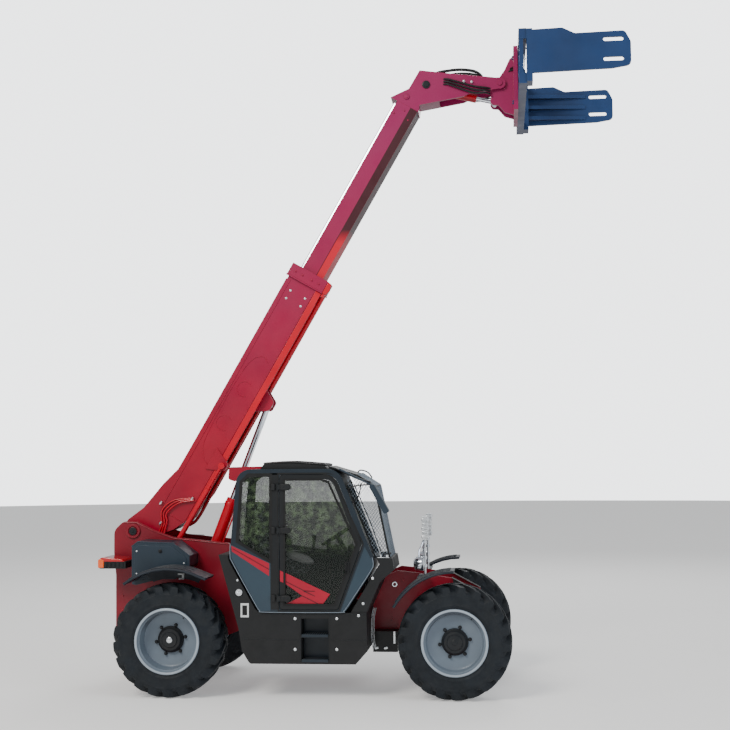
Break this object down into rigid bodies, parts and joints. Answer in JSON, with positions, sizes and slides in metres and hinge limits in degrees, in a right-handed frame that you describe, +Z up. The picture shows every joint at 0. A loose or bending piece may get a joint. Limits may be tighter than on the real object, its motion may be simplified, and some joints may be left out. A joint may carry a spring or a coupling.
{
  "type": "telehandler",
  "caption": "Compact telescopic handler with side cab, telescopic boom raised to sixty degrees, hydraulic cylinders, four steered wheels and a bale clamp on its carriage",
  "frame": {"origin": "centre of the bounding box on the ground plane, under the machine", "axes": "+X towards the front of the machine and the clamp, +Y away from the cab towards the engine side, +Z up"},
  "size_m": [5.765, 2.2882, 7.01],
  "materials": {
    "frame_paint": "satin",
    "body_paint": "satin",
    "boom_paint": "gloss",
    "cylinder_paint": "gloss",
    "chrome_rod": "polished",
    "clamp_paint": "satin",
    "black_plastic": "matte",
    "black_metal": "satin",
    "cab_glass": "clear",
    "seat_fabric": "woven",
    "axle_iron": "painted",
    "tyre_rubber": "moulded",
    "rim_paint": "satin"
  },
  "bodies": {
    "chassis": {"chassis_frame": "frame_paint", "service_box": "body_paint", "hydraulic_tank": "body_paint", "rear_lamp_bar": "black_plastic", "near_lamp_stalk": "body_paint", "far_lamp_stalk": "body_paint", "rear_near_fender": "black_plastic", "rear_far_fender": "black_plastic", "front_near_fender": "black_plastic", "front_far_fender": "black_plastic", "side_tank": "black_plastic", "cowl": "black_plastic", "engine_hood": "body_paint", "engine_block": "black_metal", "valve_block": "black_metal", "cab_frame": "body_paint", "cab_roof": "black_plastic", "windscreen": "cab_glass", "quarter_glass": "cab_glass", "boom_side_glass": "cab_glass", "rear_glass": "cab_glass", "windscreen_guard": "black_metal", "cab_mirror": "black_plastic", "boom_side_bar": "black_plastic", "seat_base": "black_metal", "seat_cushion": "seat_fabric", "seat_back": "seat_fabric", "dashboard": "black_plastic", "rear_axle": "axle_iron", "front_axle": "axle_iron"},
    "boom": {"boom_outer": "boom_paint", "boom_pipe": "cylinder_paint"},
    "inner_boom": {"boom_inner": "boom_paint", "extension_rod": "chrome_rod", "boom_head": "boom_paint"},
    "carriage": {"carriage": "boom_paint", "clamp_frame": "clamp_paint"},
    "near_clamp_arm": {"near_clamp_arm": "clamp_paint"},
    "far_clamp_arm": {"far_clamp_arm": "clamp_paint"},
    "lift_barrel": {"lift_barrel": "cylinder_paint"},
    "lift_rod": {"lift_rod": "chrome_rod"},
    "comp_barrel": {"comp_barrel": "cylinder_paint"},
    "comp_rod": {"comp_rod": "chrome_rod"},
    "tilt_barrel": {"tilt_barrel": "cylinder_paint"},
    "tilt_rod": {"tilt_rod": "chrome_rod"},
    "door": {"door_frame": "black_metal", "door_glass": "cab_glass"},
    "rear_near_knuckle": {"rear_near_knuckle": "axle_iron"},
    "rear_near_wheel": {"rear_near_tyre": "tyre_rubber", "rear_near_rim": "rim_paint"},
    "rear_far_knuckle": {"rear_far_knuckle": "axle_iron"},
    "rear_far_wheel": {"rear_far_tyre": "tyre_rubber", "rear_far_rim": "rim_paint"},
    "front_near_knuckle": {"front_near_knuckle": "axle_iron"},
    "front_near_wheel": {"front_near_tyre": "tyre_rubber", "front_near_rim": "rim_paint"},
    "front_far_knuckle": {"front_far_knuckle": "axle_iron"},
    "front_far_wheel": {"front_far_tyre": "tyre_rubber", "front_far_rim": "rim_paint"}
  },
  "joints": [
    {"name": "boom_lift", "type": "hinge", "parent": "chassis", "child": "boom", "pos_m": [-2.6075, 0, 1.692], "axis": [0, -1, 0], "range_deg": [-62, 4]},
    {"name": "boom_extend", "type": "slide", "parent": "boom", "child": "inner_boom", "axis": [0.5, 0, 0.866], "range_m": [-1.9, 0.1]},
    {"name": "carriage_tilt", "type": "hinge", "parent": "inner_boom", "child": "carriage", "pos_m": [1.5265, 0, 6.671], "axis": [0, 1, 0], "range_deg": [-75, 40]},
    {"name": "near_arm_slide", "type": "slide", "parent": "carriage", "child": "near_clamp_arm", "axis": [0, 1, 0], "range_m": [0, 0.45]},
    {"name": "far_arm_slide", "type": "slide", "parent": "carriage", "child": "far_clamp_arm", "axis": [0, -1, 0], "range_m": [0, 0.45]},
    {"name": "lift_swing", "type": "hinge", "parent": "chassis", "child": "lift_barrel", "pos_m": [-2.0025, 0, 0.86], "axis": [0, -1, 0], "range_deg": [-61.53, 4.91]},
    {"name": "lift_stroke", "type": "slide", "parent": "lift_barrel", "child": "lift_rod", "axis": [0.3603, 0, 0.9328], "range_m": [-1.0687, 0.0783]},
    {"name": "comp_swing", "type": "hinge", "parent": "chassis", "child": "comp_barrel", "pos_m": [-2.1225, -0.235, 1.58], "axis": [0, -1, 0], "range_deg": [-94.61, 7.04]},
    {"name": "comp_stroke", "type": "slide", "parent": "comp_barrel", "child": "comp_rod", "axis": [0.5125, 0, 0.8587], "range_m": [-0.2383, 0.0247]},
    {"name": "tilt_swing", "type": "hinge", "parent": "inner_boom", "child": "tilt_barrel", "pos_m": [0.6995, 0, 6.68], "axis": [0, 1, 0], "range_deg": [-5.21, 3.25]},
    {"name": "tilt_stroke", "type": "slide", "parent": "tilt_barrel", "child": "tilt_rod", "axis": [0.9694, 0, -0.2455], "range_m": [-0.1214, 0.2189]},
    {"name": "door_swing", "type": "hinge", "parent": "chassis", "child": "door", "pos_m": [-0.8475, -1.1345, 1.6], "axis": [0, 0, -1], "range_deg": [0, 100]},
    {"name": "rear_near_steer", "type": "hinge", "parent": "chassis", "child": "rear_near_knuckle", "pos_m": [-2.0225, -0.79, 0.59], "axis": [0, 0, 1], "range_deg": [-35, 35]},
    {"name": "rear_near_spin", "type": "hinge", "parent": "rear_near_knuckle", "child": "rear_near_wheel", "pos_m": [-2.0225, -0.94, 0.59], "axis": [0, 1, 0], "continuous": true},
    {"name": "rear_far_steer", "type": "hinge", "parent": "chassis", "child": "rear_far_knuckle", "pos_m": [-2.0225, 0.79, 0.59], "axis": [0, 0, 1], "range_deg": [-35, 35]},
    {"name": "rear_far_spin", "type": "hinge", "parent": "rear_far_knuckle", "child": "rear_far_wheel", "pos_m": [-2.0225, 0.94, 0.59], "axis": [0, 1, 0], "continuous": true},
    {"name": "front_near_steer", "type": "hinge", "parent": "chassis", "child": "front_near_knuckle", "pos_m": [0.9775, -0.79, 0.59], "axis": [0, 0, 1], "range_deg": [-35, 35]},
    {"name": "front_near_spin", "type": "hinge", "parent": "front_near_knuckle", "child": "front_near_wheel", "pos_m": [0.9775, -0.94, 0.59], "axis": [0, 1, 0], "continuous": true},
    {"name": "front_far_steer", "type": "hinge", "parent": "chassis", "child": "front_far_knuckle", "pos_m": [0.9775, 0.79, 0.59], "axis": [0, 0, 1], "range_deg": [-35, 35]},
    {"name": "front_far_spin", "type": "hinge", "parent": "front_far_knuckle", "child": "front_far_wheel", "pos_m": [0.9775, 0.94, 0.59], "axis": [0, 1, 0], "continuous": true}
  ],
  "couplings": [
    {"joint": "lift_swing", "follows": "boom_lift", "ratio": 0.9763},
    {"joint": "lift_stroke", "follows": "boom_lift", "m_per_rad": 0.97833},
    {"joint": "comp_swing", "follows": "boom_lift", "ratio": 1.5099},
    {"joint": "comp_stroke", "follows": "boom_lift", "m_per_rad": 0.21097},
    {"joint": "tilt_swing", "follows": "carriage_tilt", "ratio": 0.0562},
    {"joint": "tilt_stroke", "follows": "carriage_tilt", "m_per_rad": -0.15957},
    {"joint": "rear_far_steer", "follows": "rear_near_steer", "ratio": 1},
    {"joint": "front_far_steer", "follows": "front_near_steer", "ratio": 1},
    {"joint": "far_arm_slide", "follows": "near_arm_slide", "ratio": 1}
  ]
}
